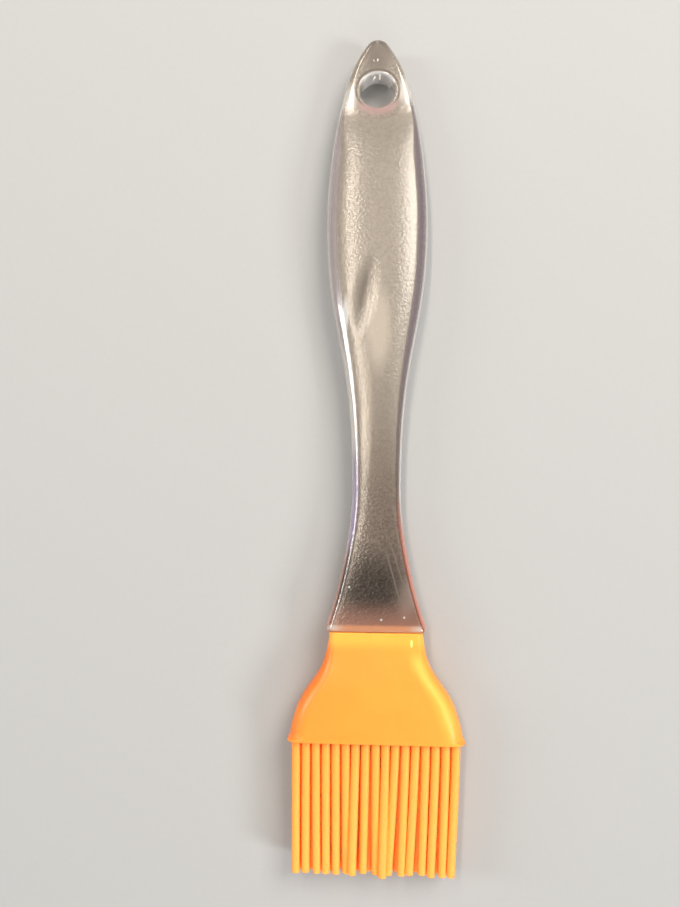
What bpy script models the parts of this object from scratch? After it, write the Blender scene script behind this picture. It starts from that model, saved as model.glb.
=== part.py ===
# Pastry brush with a pull-off head: a clear moulded handle whose flat tongue
# plugs into a silicone head, moulded in one piece with its bristles.
# The brush lies on its back: length along Y with the hanging tip at +Y, width
# along X, +Z up, origin under the middle of the whole brush. Metres.

import math

import bmesh
import bpy
import numpy as np
from mathutils import Vector
from mathutils.geometry import interpolate_bezier

# Handle, one clear moulding, measured from its hanging tip
TIP_RADIUS = 0.0029           # round of the nose, seen from above
TIP_SLOPE = 0.66              # growth of the half width where the nose round ends
PAD_THICKNESS = 0.0042        # flat pad round the hanging hole
PAD_EDGE = 0.0015             # round along the pad's rim
HOLE_FROM_TIP = 0.0130
HOLE_DIAMETER = 0.0076
HOLE_RIM_ROUND = 0.0007
SHOULDER_GAP = 0.0002         # flat left between the hole's rim and the swell of the grip
TIP_TO_GRIP = 0.0415          # tip to the widest place of the grip
GRIP_WIDTH = 0.0214
GRIP_THICKNESS = 0.0084
GRIP_EDGE_WIDTH = 0.0036
GRIP_EDGE_HEIGHT = 0.0030
GRIP_CROWN = 0.0004
GRIP_TO_NECK = 0.0585         # widest place to the narrowest
NECK_WIDTH = 0.0098
NECK_THICKNESS = 0.0062
NECK_EDGE_WIDTH = 0.0015
NECK_EDGE_HEIGHT = 0.0018
NECK_CROWN = 0.0002
NECK_TO_END = 0.0280          # narrowest place to the end face that the head seats on
FLARE_WIDTH = 0.0209          # at the end face, before its edge is rounded
FLARE_SLOPE = 0.43            # growth of the half width at the end face
FLARE_THICKNESS = 0.0080
FLARE_EDGE_WIDTH = 0.0015
FLARE_EDGE_HEIGHT = 0.0016
END_EDGE = 0.0012             # round along the end face
SIDE_DRAFT = 0.05             # lean of the side walls towards the parting line
PARTING_LAND = 0.0004         # flat band where the two mould halves met

# Tongue of the handle, measured from the end face
TONGUE_LENGTH = 0.0170
TONGUE_WIDTH = 0.0130
TONGUE_THICKNESS = 0.0030
TONGUE_TAPER = 0.03           # loss of half width for each unit of length
TONGUE_CORNER = 0.0030        # corner round of the free end, seen from above
TONGUE_EDGE = 0.0006
TONGUE_ROOT_ROUND = 0.0003
RIB_FROM_FACE = 0.0030
RIB_PITCH = 0.0042
RIB_HEIGHT = 0.0004
RIB_RAMP = 0.0016             # whole rib along the tongue, sloping to the free end
RIB_STEP = 0.0002             # its steep side, towards the handle

# Silicone head, measured from its seat on the end face
SEAT_GAP = 0.0003             # between the handle's end face and the head
POCKET_CLEARANCE = 0.0003     # between the tongue's ribs and the pocket
POCKET_END_ROOM = 0.0010
SLEEVE_LENGTH = 0.0210        # seat to the lip that the bristles grow from
SLEEVE_STEP = 0.0010          # the head is this much narrower than the flare, each side
SLEEVE_WALL = 0.0014          # rubber above and below the pocket at the seat
SLEEVE_SLOPE = 0.085          # growth of the half width at the seat
SLEEVE_EDGE = 0.0014
SLEEVE_END_ROUND = 0.0005
BASE_WIDTH = 0.0348
BASE_SLOPE = 0.145            # growth of the half width at the lip
BASE_THICKNESS = 0.0084
BASE_LENGTH = 0.0085          # stretch above the lip with flat, parallel faces
BASE_EDGE_WIDTH = 0.0034
BASE_EDGE_HEIGHT = 0.0034
LIP_WIDTH = 0.0003            # the thin lip stands this far out of each side
LIP_LENGTH = 0.0006

# Bristles, in staggered rows
BRISTLE_LENGTH = 0.0250
BRISTLE_DIAMETER = 0.00155
BRISTLE_TIP_DIAMETER = 0.00135
BRISTLE_TIP_ROUND = 0.0003
BRISTLE_GAP = 0.00042         # between neighbours in a row
ROW_GAP = 0.00024             # between neighbours in two rows
BRISTLE_MARGIN = 0.00015      # rubber left outside the end bristle of a row
ROW_MARGIN = 0.0009           # rubber left outside the outer rows

# Share of each stretch that its curve handles reach, start and end
TIP_PULL = (0.27, 0.17)
GRIP_PULL = (0.43, 0.53)
FLARE_PULL = (0.32, 0.20)
SHOULDER_PULL = (0.10, 0.62)
SLEEVE_PULL = (0.55, 0.62)
BASE_PULL = (0.45, 0.45)

# Fineness of the faceted forms
RING_SPACING = 0.0027
CURVE_STEPS = 32
NOSE_STEPS = 5
NOSE_CROWDING = 3             # the steps crowd towards the nose by this power
ROUND_STEPS = 3
CORNER_STEPS = 4
FACE_STEPS = 4
HOLE_SIDES = 40
BRISTLE_SIDES = 8
HOLE_RIM_SWEEP = math.radians(75)
EDGE_SHARE = 0.9              # most of a wall that its edge round may take
LEAST_EDGE = 0.0002
ARC_PULL = 0.5523             # reach of the curve handles that draws a quarter round
SMOOTH_ANGLE = math.radians(32)

# Places and fits that follow from the sizes
NECK_FROM_TIP = TIP_TO_GRIP + GRIP_TO_NECK
HANDLE_LENGTH = NECK_FROM_TIP + NECK_TO_END
SHOULDER_FROM_TIP = HOLE_FROM_TIP + HOLE_DIAMETER / 2 + HOLE_RIM_ROUND + SHOULDER_GAP
POCKET_WIDTH = TONGUE_WIDTH + 2 * POCKET_CLEARANCE
POCKET_THICKNESS = TONGUE_THICKNESS + 2 * (RIB_HEIGHT + POCKET_CLEARANCE)
SLEEVE_WIDTH = FLARE_WIDTH - 2 * SLEEVE_STEP
SLEEVE_THICKNESS = POCKET_THICKNESS + 2 * SLEEVE_WALL
BRISTLE_PITCH = BRISTLE_DIAMETER + BRISTLE_GAP
ROW_PITCH = math.sqrt((BRISTLE_DIAMETER + ROW_GAP) ** 2 - (BRISTLE_PITCH / 2) ** 2)
HEAD_FROM_TIP = HANDLE_LENGTH + SEAT_GAP
OVERALL_LENGTH = HEAD_FROM_TIP + SLEEVE_LENGTH + BRISTLE_LENGTH
TIP_Y = OVERALL_LENGTH / 2
MIDDLE_Z = max(GRIP_THICKNESS, BASE_THICKNESS) / 2


def clear_scene():
    for thing in list(bpy.data.objects):
        bpy.data.objects.remove(thing, do_unlink=True)


def curve_points(start, end, start_slope, end_slope, pull):
    # one smooth stretch between two (distance, size) points
    reach = end[0] - start[0]
    knots = (
        Vector((start[0], start[1], 0)),
        Vector((start[0] + pull[0] * reach, start[1] + pull[0] * reach * start_slope, 0)),
        Vector((end[0] - pull[1] * reach, end[1] - pull[1] * reach * end_slope, 0)),
        Vector((end[0], end[1], 0)),
    )
    return [(point.x, point.y) for point in interpolate_bezier(*knots, CURVE_STEPS)]


def read_curve(points, distance):
    return float(np.interp(distance, [point[0] for point in points], [point[1] for point in points]))


def ease(distance, marks):
    # passes smoothly from one marked value to the next, level at each mark
    for (start, low), (end, high) in zip(marks, marks[1:]):
        if distance <= end:
            share = max(0.0, (distance - start) / (end - start))
            return low + (high - low) * share * share * (3 - 2 * share)
    return marks[-1][1]


def nose_half_width(distance):
    return math.sqrt(max(0.0, TIP_RADIUS ** 2 - (TIP_RADIUS - distance) ** 2))


def handle_width_curve():
    nose_end_half = TIP_RADIUS / math.sqrt(1 + TIP_SLOPE ** 2)
    nose_end = TIP_RADIUS - TIP_SLOPE * nose_end_half
    nose = [nose_end * (step / CURVE_STEPS) ** NOSE_CROWDING for step in range(CURVE_STEPS)]
    grip = (TIP_TO_GRIP, GRIP_WIDTH / 2)
    neck = (NECK_FROM_TIP, NECK_WIDTH / 2)
    flare = (HANDLE_LENGTH, FLARE_WIDTH / 2)
    points = [(distance, nose_half_width(distance)) for distance in nose]
    points += curve_points((nose_end, nose_end_half), grip, TIP_SLOPE, 0, TIP_PULL)
    points += curve_points(grip, neck, 0, 0, GRIP_PULL)[1:]
    points += curve_points(neck, flare, 0, FLARE_SLOPE, FLARE_PULL)[1:]
    return points


def handle_thickness_curve():
    shoulder = (SHOULDER_FROM_TIP, PAD_THICKNESS / 2)
    grip = (TIP_TO_GRIP, GRIP_THICKNESS / 2)
    neck = (NECK_FROM_TIP, NECK_THICKNESS / 2)
    flare = (HANDLE_LENGTH, FLARE_THICKNESS / 2)
    end_slope = (flare[1] - neck[1]) / (flare[0] - neck[0])
    points = curve_points(shoulder, grip, 0, 0, SHOULDER_PULL)
    points += curve_points(grip, neck, 0, 0, GRIP_PULL)[1:]
    points += curve_points(neck, flare, 0, end_slope, FLARE_PULL)[1:]
    return points


def section(half_width, half_thickness, edge_width, edge_height, crown=0.0):
    # closed cross-section as (x, z) points: crowned faces, rounded edges and
    # side walls that lean out to the land at the parting line
    land = PARTING_LAND / 2
    shoulder_z = half_thickness - crown
    edge_width = min(edge_width, EDGE_SHARE * half_width)
    edge_height = min(edge_height, EDGE_SHARE * (shoulder_z - land))
    wall_x = half_width - SIDE_DRAFT * (shoulder_z - edge_height - land)
    face_x = wall_x - edge_width
    wall_end = Vector((wall_x, shoulder_z - edge_height, 0))
    face_end = Vector((face_x, shoulder_z, 0))
    wall_pull = Vector((-SIDE_DRAFT, 1, 0)) * edge_height * ARC_PULL
    face_pull = Vector((1, -2 * crown / face_x, 0)) * edge_width * ARC_PULL
    corner = interpolate_bezier(wall_end, wall_end + wall_pull, face_end + face_pull, face_end, CORNER_STEPS + 1)
    right = [(half_width, land)] + [(point.x, point.y) for point in corner]
    shares = [1 - 2 * step / FACE_STEPS for step in range(1, FACE_STEPS)]
    face = [(share * face_x, half_thickness - crown * share * share) for share in shares]
    left = [(-x, z) for x, z in reversed(right)]
    upper = right + face + left
    return upper + [(-x, -z) for x, z in upper]


def add_ring(mesh, points, distance):
    y = TIP_Y - distance
    return [mesh.verts.new((x, y, MIDDLE_Z + z)) for x, z in points]


def join_rings(mesh, first, second):
    count = len(first)
    for index in range(count):
        after = (index + 1) % count
        mesh.faces.new((first[index], first[after], second[after], second[index]))


def skin(mesh, rings):
    for first, second in zip(rings, rings[1:]):
        join_rings(mesh, first, second)


def finish_object(mesh, name, material):
    bmesh.ops.recalc_face_normals(mesh, faces=mesh.faces)
    data = bpy.data.meshes.new(name)
    mesh.to_mesh(data)
    mesh.free()
    data.shade_smooth()
    data.set_sharp_from_angle(angle=SMOOTH_ANGLE)
    data.materials.append(material)
    thing = bpy.data.objects.new(name, data)
    bpy.context.scene.collection.objects.link(thing)
    return thing


def clear_plastic():
    material = bpy.data.materials.new("clear moulded plastic")
    material.use_nodes = True
    shader = material.node_tree.nodes["Principled BSDF"]
    shader.inputs["Base Color"].default_value = (0.62, 0.58, 0.53, 1)
    shader.inputs["Roughness"].default_value = 0.28
    shader.inputs["Metallic"].default_value = 0.0
    shader.inputs["IOR"].default_value = 1.58
    shader.inputs["Transmission Weight"].default_value = 0.9
    return material


def orange_silicone():
    material = bpy.data.materials.new("orange silicone")
    material.use_nodes = True
    shader = material.node_tree.nodes["Principled BSDF"]
    shader.inputs["Base Color"].default_value = (0.95, 0.40, 0.06, 1)
    shader.inputs["Roughness"].default_value = 0.45
    shader.inputs["Metallic"].default_value = 0.0
    return material


def quarter_round(radius, steps):
    # (rise, inset) pairs from the side of a quarter round to its end
    angles = [math.pi / 2 * step / steps for step in range(1, steps + 1)]
    return [(radius * math.sin(angle), radius * (1 - math.cos(angle))) for angle in angles]


def spaced(start, end):
    count = max(1, round((end - start) / RING_SPACING))
    return [start + (end - start) * step / count for step in range(count + 1)]


def handle_rings(mesh):
    widths = handle_width_curve()
    thicknesses = handle_thickness_curve()
    swell_end = (SHOULDER_FROM_TIP + TIP_TO_GRIP) / 2
    edge_widths = ((SHOULDER_FROM_TIP, PAD_EDGE), (swell_end, GRIP_EDGE_WIDTH), (TIP_TO_GRIP, GRIP_EDGE_WIDTH),
                   (NECK_FROM_TIP, NECK_EDGE_WIDTH), (HANDLE_LENGTH, FLARE_EDGE_WIDTH))
    edge_heights = ((SHOULDER_FROM_TIP, PAD_EDGE), (swell_end, GRIP_EDGE_HEIGHT), (TIP_TO_GRIP, GRIP_EDGE_HEIGHT),
                    (NECK_FROM_TIP, NECK_EDGE_HEIGHT), (HANDLE_LENGTH, FLARE_EDGE_HEIGHT))
    crowns = ((SHOULDER_FROM_TIP, 0.0), (TIP_TO_GRIP, GRIP_CROWN), (NECK_FROM_TIP, NECK_CROWN),
              (HANDLE_LENGTH, 0.0))
    nose_edge = min(PAD_EDGE, PAD_THICKNESS / 2 - PARTING_LAND)

    def ring(distance, inset=0.0):
        nose_loss = nose_edge - math.sqrt(nose_edge ** 2 - max(0.0, nose_edge - distance) ** 2)
        points = section(read_curve(widths, distance) - inset,
                         read_curve(thicknesses, distance) - nose_loss - inset,
                         max(LEAST_EDGE, ease(distance, edge_widths) - inset),
                         max(LEAST_EDGE, ease(distance, edge_heights) - inset),
                         ease(distance, crowns))
        return add_ring(mesh, points, distance)

    stations = [nose_edge * (step / NOSE_STEPS) ** NOSE_CROWDING for step in range(1, NOSE_STEPS)]
    stations += spaced(nose_edge, SHOULDER_FROM_TIP)
    stations += spaced(SHOULDER_FROM_TIP, TIP_TO_GRIP)[1:]
    stations += spaced(TIP_TO_GRIP, NECK_FROM_TIP)[1:]
    stations += spaced(NECK_FROM_TIP, HANDLE_LENGTH - END_EDGE)[1:]
    rings = [ring(distance) for distance in stations]
    for rise, inset in quarter_round(END_EDGE, ROUND_STEPS):
        rings.append(ring(HANDLE_LENGTH - END_EDGE + rise, inset))
    return rings


def tongue_half_width(distance):
    half_width = TONGUE_WIDTH / 2 - TONGUE_TAPER * distance
    past = max(0.0, distance - (TONGUE_LENGTH - TONGUE_CORNER))
    return half_width - TONGUE_CORNER + math.sqrt(max(0.0, TONGUE_CORNER ** 2 - past ** 2))


def tongue_ring(mesh, distance, swell=0.0, inset=0.0):
    points = section(tongue_half_width(distance) - inset, TONGUE_THICKNESS / 2 + swell - inset,
                     TONGUE_EDGE, TONGUE_EDGE)
    return add_ring(mesh, points, HANDLE_LENGTH + distance)


def tongue_rings(mesh):
    rings = []
    for rise, inset in reversed(quarter_round(TONGUE_ROOT_ROUND, ROUND_STEPS)):
        rings.append(tongue_ring(mesh, TONGUE_ROOT_ROUND - rise, inset=-inset))
    corner_start = TONGUE_LENGTH - TONGUE_CORNER
    rib_start = RIB_FROM_FACE
    while rib_start + RIB_RAMP < corner_start:
        rings.append(tongue_ring(mesh, rib_start))
        rings.append(tongue_ring(mesh, rib_start + RIB_STEP, RIB_HEIGHT))
        rings.append(tongue_ring(mesh, rib_start + RIB_RAMP))
        rib_start += RIB_PITCH
    for rise, _ in quarter_round(TONGUE_CORNER - TONGUE_EDGE, ROUND_STEPS):
        rings.append(tongue_ring(mesh, corner_start + rise))
    for rise, inset in quarter_round(TONGUE_EDGE, ROUND_STEPS):
        rings.append(tongue_ring(mesh, TONGUE_LENGTH - TONGUE_EDGE + rise, inset=inset))
    return rings


def hole_profile():
    # upper half of the cutter's side: bore, rounded rim, then straight out of the pad
    bore = HOLE_DIAMETER / 2
    rim = min(HOLE_RIM_ROUND, EDGE_SHARE * PAD_THICKNESS / 2)
    bend = PAD_THICKNESS / 2 - rim
    profile = []
    for step in range(ROUND_STEPS + 1):
        angle = HOLE_RIM_SWEEP * step / ROUND_STEPS
        profile.append((bore + rim * (1 - math.cos(angle)), bend + rim * math.sin(angle)))
    radius, height = profile[-1]
    profile.append((radius + rim * math.sin(HOLE_RIM_SWEEP), height + rim * math.cos(HOLE_RIM_SWEEP)))
    return profile


def hole_cutter():
    upper = hole_profile()
    profile = [(radius, -height) for radius, height in reversed(upper)] + upper
    turns = [2 * math.pi * side / HOLE_SIDES for side in range(HOLE_SIDES)]
    mesh = bmesh.new()
    rings = []
    for radius, height in profile:
        circle = [(radius * math.cos(turn), radius * math.sin(turn)) for turn in turns]
        rings.append([mesh.verts.new((x, y, height)) for x, y in circle])
    skin(mesh, rings)
    mesh.faces.new(rings[0])
    mesh.faces.new(rings[-1])
    cutter = finish_object(mesh, "hanging_hole_cutter", clear_plastic())
    cutter.location = (0, TIP_Y - HOLE_FROM_TIP, MIDDLE_Z)
    cutter.display_type = "WIRE"
    cutter.hide_render = True
    return cutter


def make_handle():
    mesh = bmesh.new()
    rings = handle_rings(mesh) + tongue_rings(mesh)
    skin(mesh, rings)
    mesh.faces.new(rings[0])
    mesh.faces.new(rings[-1])
    handle = finish_object(mesh, "handle", clear_plastic())
    bore = handle.modifiers.new("hanging hole", "BOOLEAN")
    bore.operation = "DIFFERENCE"
    bore.solver = "EXACT"
    bore.object = hole_cutter()
    return handle


def base_section(lip=0.0):
    return section(BASE_WIDTH / 2 + lip, BASE_THICKNESS / 2, BASE_EDGE_WIDTH, BASE_EDGE_HEIGHT)


def sleeve_rings(mesh):
    # outside of the head, from its seat down to the lip
    flat_start = SLEEVE_LENGTH - BASE_LENGTH
    widths = curve_points((0, SLEEVE_WIDTH / 2), (SLEEVE_LENGTH, BASE_WIDTH / 2),
                          SLEEVE_SLOPE, BASE_SLOPE, SLEEVE_PULL)
    thicknesses = curve_points((0, SLEEVE_THICKNESS / 2), (flat_start, BASE_THICKNESS / 2), 0, 0, BASE_PULL)
    edge_widths = ((0, SLEEVE_EDGE), (flat_start, BASE_EDGE_WIDTH))
    edge_heights = ((0, SLEEVE_EDGE), (flat_start, BASE_EDGE_HEIGHT))

    def ring(distance, inset=0.0):
        points = section(read_curve(widths, distance) - inset,
                         read_curve(thicknesses, distance) - inset,
                         max(LEAST_EDGE, ease(distance, edge_widths) - inset),
                         max(LEAST_EDGE, ease(distance, edge_heights) - inset))
        return add_ring(mesh, points, HEAD_FROM_TIP + distance)

    rings = []
    for rise, inset in reversed(quarter_round(SLEEVE_END_ROUND, ROUND_STEPS)):
        rings.append(ring(SLEEVE_END_ROUND - rise, inset))
    stations = spaced(SLEEVE_END_ROUND, flat_start) + spaced(flat_start, SLEEVE_LENGTH - LIP_LENGTH)[1:]
    for distance in stations:
        rings.append(ring(distance))
    rings.append(add_ring(mesh, base_section(LIP_WIDTH), HEAD_FROM_TIP + SLEEVE_LENGTH))
    return rings


def pocket_rings(mesh):
    # hollow for the tongue, from its closed end out to the mouth
    end = HEAD_FROM_TIP + TONGUE_LENGTH - SEAT_GAP + POCKET_END_ROOM
    edge = TONGUE_EDGE + POCKET_CLEARANCE
    mouth = TONGUE_ROOT_ROUND + POCKET_CLEARANCE

    def ring(distance, swell):
        points = section(POCKET_WIDTH / 2 + swell, POCKET_THICKNESS / 2 + swell, edge, edge)
        return add_ring(mesh, points, distance)

    rings = []
    for rise, inset in reversed(quarter_round(edge, ROUND_STEPS)):
        rings.append(ring(end - edge + rise, -inset))
    rings.append(ring(end - edge, 0.0))
    rings.append(ring(HEAD_FROM_TIP + mouth, 0.0))
    for rise, inset in quarter_round(mouth, ROUND_STEPS):
        rings.append(ring(HEAD_FROM_TIP + mouth - rise, inset))
    return rings


def row_heights():
    room = BASE_THICKNESS - 2 * ROW_MARGIN - BRISTLE_DIAMETER
    count = math.floor(room / ROW_PITCH) + 1
    return [(row - (count - 1) / 2) * ROW_PITCH for row in range(count)]


def row_places(height, shift):
    # bristles at whole pitches from the middle, or shifted by half a pitch, as
    # far out as the rounded side of the base leaves room
    diagonal = math.sqrt(0.5) * BRISTLE_DIAMETER / 2
    side = [(x, z) for x, z in base_section() if x > 0 and z > 0][:CORNER_STEPS + 2]
    heights = [z for x, z in side]
    limit = float(np.interp(abs(height) + diagonal, heights, [x for x, z in side])) - diagonal - BRISTLE_MARGIN
    first = math.ceil(-limit / BRISTLE_PITCH - shift)
    last = math.floor(limit / BRISTLE_PITCH - shift)
    return [((index + shift) * BRISTLE_PITCH, height) for index in range(first, last + 1)]


def bristle_ring(mesh, place, diameter, distance):
    turns = [2 * math.pi * (side + 0.5) / BRISTLE_SIDES for side in range(BRISTLE_SIDES)]
    radius = diameter / 2
    points = [(place[0] + radius * math.cos(turn), place[1] + radius * math.sin(turn)) for turn in turns]
    return add_ring(mesh, points, distance)


def add_bristle(mesh, place):
    # returns the ring that the bristle grows from
    root = HEAD_FROM_TIP + SLEEVE_LENGTH
    tip = root + BRISTLE_LENGTH
    rings = [bristle_ring(mesh, place, BRISTLE_DIAMETER, root),
             bristle_ring(mesh, place, BRISTLE_TIP_DIAMETER, tip - BRISTLE_TIP_ROUND),
             bristle_ring(mesh, place, BRISTLE_TIP_DIAMETER - 2 * BRISTLE_TIP_ROUND, tip)]
    skin(mesh, rings)
    mesh.faces.new(rings[-1])
    return rings[0]


def ring_edges(mesh, ring):
    return [mesh.edges.get((ring[index - 1], ring[index])) for index in range(len(ring))]


def make_brush_head():
    mesh = bmesh.new()
    rings = pocket_rings(mesh) + sleeve_rings(mesh)
    skin(mesh, rings)
    mesh.faces.new(rings[0])
    outline = ring_edges(mesh, rings[-1])
    for row, height in enumerate(reversed(row_heights())):
        for place in row_places(height, row % 2 / 2):
            outline += ring_edges(mesh, add_bristle(mesh, place))
    bmesh.ops.triangle_fill(mesh, use_beauty=True, use_dissolve=False, edges=outline)
    return finish_object(mesh, "brush_head", orange_silicone())


clear_scene()
make_handle()
make_brush_head()
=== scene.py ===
# Pastry brush on a pale studio floor: a clear moulded handle and an orange
# silicone head with its bristles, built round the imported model.
# Metres, +Z up, the hanging tip towards +Y, the brush flat on its back.
import math

import bmesh
import bpy
import numpy as np
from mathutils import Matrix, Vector
from mathutils.geometry import interpolate_bezier


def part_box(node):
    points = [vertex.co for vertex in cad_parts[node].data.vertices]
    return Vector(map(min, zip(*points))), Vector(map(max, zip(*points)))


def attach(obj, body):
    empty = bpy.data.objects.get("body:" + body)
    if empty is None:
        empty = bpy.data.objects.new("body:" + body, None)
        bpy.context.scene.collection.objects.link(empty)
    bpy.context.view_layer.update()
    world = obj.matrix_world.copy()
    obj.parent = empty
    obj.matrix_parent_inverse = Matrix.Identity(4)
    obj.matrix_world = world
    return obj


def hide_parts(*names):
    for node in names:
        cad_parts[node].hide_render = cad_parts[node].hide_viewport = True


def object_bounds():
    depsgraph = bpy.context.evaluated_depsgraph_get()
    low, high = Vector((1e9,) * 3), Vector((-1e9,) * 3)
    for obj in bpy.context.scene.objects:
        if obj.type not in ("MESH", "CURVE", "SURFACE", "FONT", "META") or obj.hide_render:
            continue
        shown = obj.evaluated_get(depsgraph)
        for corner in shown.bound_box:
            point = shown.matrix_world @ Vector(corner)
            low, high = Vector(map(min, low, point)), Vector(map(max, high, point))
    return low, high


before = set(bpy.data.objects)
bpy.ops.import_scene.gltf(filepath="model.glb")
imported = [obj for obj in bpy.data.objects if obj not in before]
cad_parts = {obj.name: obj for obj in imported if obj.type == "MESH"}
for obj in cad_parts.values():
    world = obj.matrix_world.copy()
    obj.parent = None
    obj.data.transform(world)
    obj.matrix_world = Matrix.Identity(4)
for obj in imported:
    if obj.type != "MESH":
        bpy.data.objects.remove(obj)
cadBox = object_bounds()
handleLow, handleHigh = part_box("handle")

mm = 0.001
tipY = handleHigh.y                          # every distance along the brush starts here
middleZ = (handleLow.z + handleHigh.z) / 2   # the parting plane
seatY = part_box("brush_head")[1].y            # top edge of the rubber head


# Shared help
def linearColour(hexCode):
    parts = [int(hexCode[place:place + 2], 16) / 255 for place in (1, 3, 5)]
    linear = [part / 12.92 if part <= 0.04045 else ((part + 0.055) / 1.055) ** 2.4 for part in parts]
    return (*linear, 1.0)


def addNode(tree, kind, inputs=None, **settings):
    # one node with its settings; an input is a value, another node's output, or
    # the node itself for its first output
    node = tree.nodes.new(kind)
    for name, value in settings.items():
        setattr(node, name, value)
    for key, value in (inputs or {}).items():
        if isinstance(value, bpy.types.Node):
            value = value.outputs[0]
        if isinstance(value, bpy.types.NodeSocket):
            tree.links.new(value, node.inputs[key])
        else:
            node.inputs[key].default_value = value
    return node


def maths(tree, operation, *values, **settings):
    return addNode(tree, "ShaderNodeMath", dict(enumerate(values)), operation=operation, **settings)


def vectorMaths(tree, operation, *values):
    return addNode(tree, "ShaderNodeVectorMath", dict(enumerate(values)), operation=operation)


def noise(tree, where, scale, detail):
    return addNode(tree, "ShaderNodeTexNoise", {"Vector": where, "Scale": scale, "Detail": detail})


def smoothLine(marks, pulls):
    # marks are (distance, size, slope); one Bezier stretch between each two
    points = []
    for (start, low, lowSlope), (end, high, highSlope), (pull, pullBack) in zip(marks, marks[1:], pulls):
        reach = end - start
        points += interpolate_bezier(
            Vector((start, low, 0)),
            Vector((start + pull * reach, low + pull * reach * lowSlope, 0)),
            Vector((end - pullBack * reach, high - pullBack * reach * highSlope, 0)),
            Vector((end, high, 0)), 300)
    return np.array([(point.x, point.y) for point in points])


def readLine(line, distance):
    return float(np.interp(distance, line[:, 0], line[:, 1]))


def eased(distance, marks):
    # level at each (distance, size) mark, with a soft change between them
    for (start, low), (end, high) in zip(marks, marks[1:]):
        if distance <= end:
            share = max(0.0, (distance - start) / (end - start))
            return low + (high - low) * share * share * (3 - 2 * share)
    return marks[-1][1]


def softStep(values, start, end):
    share = np.clip((values - start) / (end - start), 0, 1)
    return share * share * (3 - 2 * share)


def crossSection(halfWidth, halfThick, edgeWidth, edgeHeight, crown=0.0, flash=0.0):
    # closed (x, z) outline: faces that are flat in the middle and fall off to
    # their sides, rounded edges, drafted walls and a fine ridge of flash
    land = 0.2 * mm          # straight height beside the parting line
    draft = 0.05             # how much a wall leans in for each millimetre up
    shoulder = halfThick - crown
    edgeWidth = min(edgeWidth, 0.9 * halfWidth)
    edgeHeight = min(edgeHeight, 0.9 * (shoulder - land))
    wallX = halfWidth - draft * (shoulder - edgeHeight - land)
    faceX = wallX - edgeWidth
    wallEnd = Vector((wallX, shoulder - edgeHeight, 0))
    faceEnd = Vector((faceX, shoulder, 0))
    wallPull = Vector((-draft, 1, 0)) * edgeHeight * 0.5523
    facePull = Vector((1, -3 * crown / faceX, 0)) * edgeWidth * 0.5523
    corner = interpolate_bezier(wallEnd, wallEnd + wallPull, faceEnd + facePull, faceEnd, 11)
    right = [(halfWidth, land)] + [(point.x, point.y) for point in corner]
    shares = np.linspace(1, -1, 19)[1:-1]
    face = [(share * faceX, halfThick - crown * abs(share) ** 3) for share in shares]
    left = [(-x, z) for x, z in reversed(right)]
    upper = [(halfWidth + flash, 0.0)] + right + face + left
    return np.array(upper + [(-x, -z) for x, z in upper])


def ringAt(outline, distance):
    return [(x, tipY - distance, middleZ + z) for x, z in outline]


def loft(name, rings):
    # skin over rings of equally many points, capped at both ends
    count = len(rings[0])
    points = [point for ring in rings for point in ring]
    faces = []
    for row in range(len(rings) - 1):
        for side in range(count):
            after = (side + 1) % count
            faces.append((row * count + side, row * count + after,
                          (row + 1) * count + after, (row + 1) * count + side))
    faces.append(tuple(range(count)))
    faces.append(tuple(range(len(points) - count, len(points))))
    mesh = bpy.data.meshes.new(name)
    mesh.from_pydata(points, [], faces)
    work = bmesh.new()
    work.from_mesh(mesh)
    bmesh.ops.recalc_face_normals(work, faces=work.faces)
    work.to_mesh(mesh)
    work.free()
    return place(name, mesh)


def place(name, mesh):
    thing = bpy.data.objects.new(name, mesh)
    bpy.context.scene.collection.objects.link(thing)
    return thing


def settle(thing, sharpAngle=40):
    # the modifiers' result becomes the plain mesh
    result = bpy.data.meshes.new_from_object(thing.evaluated_get(bpy.context.evaluated_depsgraph_get()))
    thing.modifiers.clear()
    thing.data = result
    result.shade_smooth()
    result.set_sharp_from_angle(angle=math.radians(sharpAngle))
    return thing


def quarterRound(radius, steps=8):
    # (rise, inset) pairs from the side of a quarter round to its end
    angles = [math.pi / 2 * step / steps for step in range(1, steps + 1)]
    return [(radius * math.sin(angle), radius * (1 - math.cos(angle))) for angle in angles]


def pointArray(mesh):
    points = np.empty(len(mesh.vertices) * 3)
    mesh.vertices.foreach_get("co", points)
    return points.reshape(-1, 3)


def storeValues(mesh, name, values):
    mesh.attributes.new(name, "FLOAT", "POINT").data.foreach_set("value", values.astype(np.float32))


# Camera
cameraSetup = {
    "place": (0.02 * mm, -18.66 * mm, 147.58 * mm),   # close above the neck of the handle
    "turn": (5.54, 3.01, 0.46),                      # degrees
    "lens": 27.39,
}


def addCamera(setup):
    data = bpy.data.cameras.new("camera")
    data.lens = setup["lens"]
    data.sensor_width = 36
    data.clip_start = 0.005
    camera = bpy.data.objects.new("camera", data)
    camera.location = setup["place"]
    camera.rotation_euler = [math.radians(angle) for angle in setup["turn"]]
    bpy.context.scene.collection.objects.link(camera)
    bpy.context.scene.camera = camera


addCamera(cameraSetup)
print("camera set")

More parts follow.
